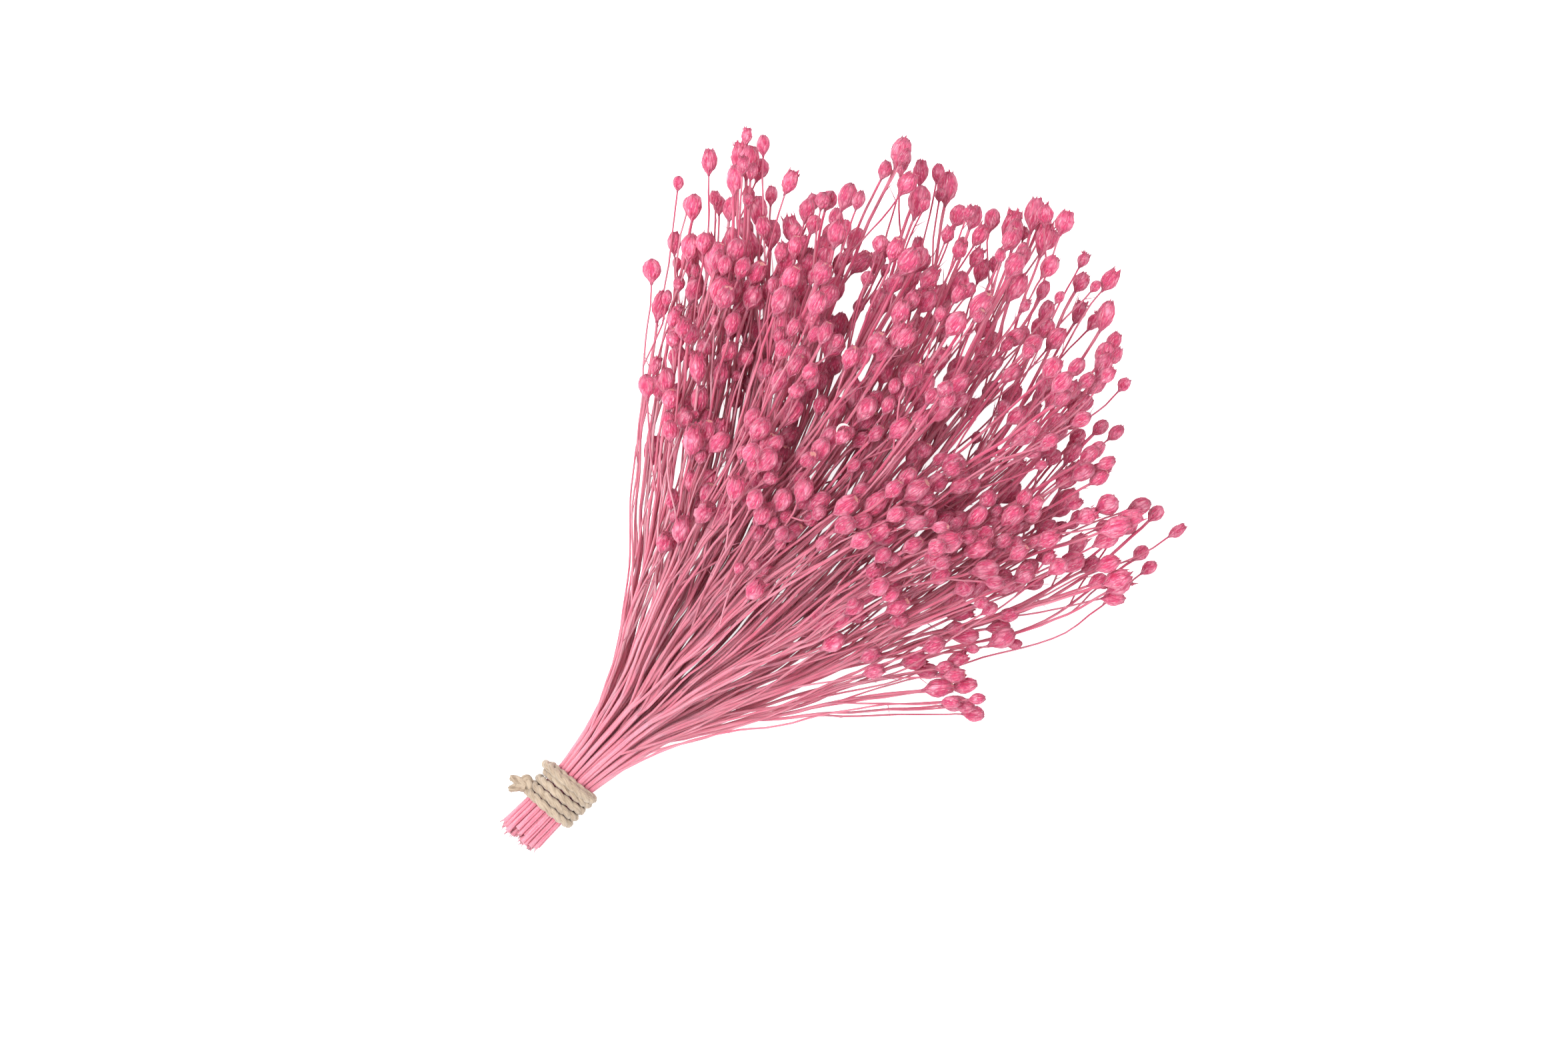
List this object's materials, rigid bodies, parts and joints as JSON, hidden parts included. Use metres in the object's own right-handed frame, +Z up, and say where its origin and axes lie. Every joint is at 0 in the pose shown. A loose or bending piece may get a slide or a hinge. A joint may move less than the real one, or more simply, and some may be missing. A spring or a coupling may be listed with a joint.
{
  "type": "bunch of dried broom",
  "caption": "Bunch of dried, dyed broom bloom lying on its side: fine forked sprigs with small scaly egg-shaped heads, tied near the cut ends with a wound and knotted twine",
  "frame": {"origin": "on the surface the bunch lies on, below the middle of its bounding box", "axes": "+X runs along the bunch from the cut ends to the flower heads, +Y across the fan, +Z up from the surface"},
  "size_m": [0.1906, 0.1354, 0.0609],
  "materials": {
    "dried_sprigs": "dry, dyed and matt",
    "twine": "natural two-ply jute"
  },
  "bodies": {
    "root": {"sprig_01": "dried_sprigs", "sprig_02": "dried_sprigs", "sprig_03": "dried_sprigs", "sprig_04": "dried_sprigs", "sprig_05": "dried_sprigs", "sprig_06": "dried_sprigs", "sprig_07": "dried_sprigs", "sprig_08": "dried_sprigs", "sprig_09": "dried_sprigs", "sprig_10": "dried_sprigs", "sprig_11": "dried_sprigs", "sprig_12": "dried_sprigs", "sprig_13": "dried_sprigs", "sprig_14": "dried_sprigs", "sprig_15": "dried_sprigs", "sprig_16": "dried_sprigs", "sprig_17": "dried_sprigs", "sprig_18": "dried_sprigs", "sprig_19": "dried_sprigs", "sprig_20": "dried_sprigs", "sprig_21": "dried_sprigs", "sprig_22": "dried_sprigs", "sprig_23": "dried_sprigs", "sprig_24": "dried_sprigs", "sprig_25": "dried_sprigs", "sprig_26": "dried_sprigs", "sprig_27": "dried_sprigs", "sprig_28": "dried_sprigs", "sprig_29": "dried_sprigs", "sprig_30": "dried_sprigs", "sprig_31": "dried_sprigs", "sprig_32": "dried_sprigs", "sprig_33": "dried_sprigs", "sprig_34": "dried_sprigs", "sprig_35": "dried_sprigs", "sprig_36": "dried_sprigs", "sprig_37": "dried_sprigs", "sprig_38": "dried_sprigs", "sprig_39": "dried_sprigs", "sprig_40": "dried_sprigs", "sprig_41": "dried_sprigs", "sprig_42": "dried_sprigs", "sprig_43": "dried_sprigs", "sprig_44": "dried_sprigs", "sprig_45": "dried_sprigs", "sprig_46": "dried_sprigs", "sprig_47": "dried_sprigs", "sprig_48": "dried_sprigs", "sprig_49": "dried_sprigs", "sprig_50": "dried_sprigs", "sprig_51": "dried_sprigs", "sprig_52": "dried_sprigs", "sprig_53": "dried_sprigs", "sprig_54": "dried_sprigs", "sprig_55": "dried_sprigs", "sprig_56": "dried_sprigs", "twine": "twine"}
  },
  "joints": []
}
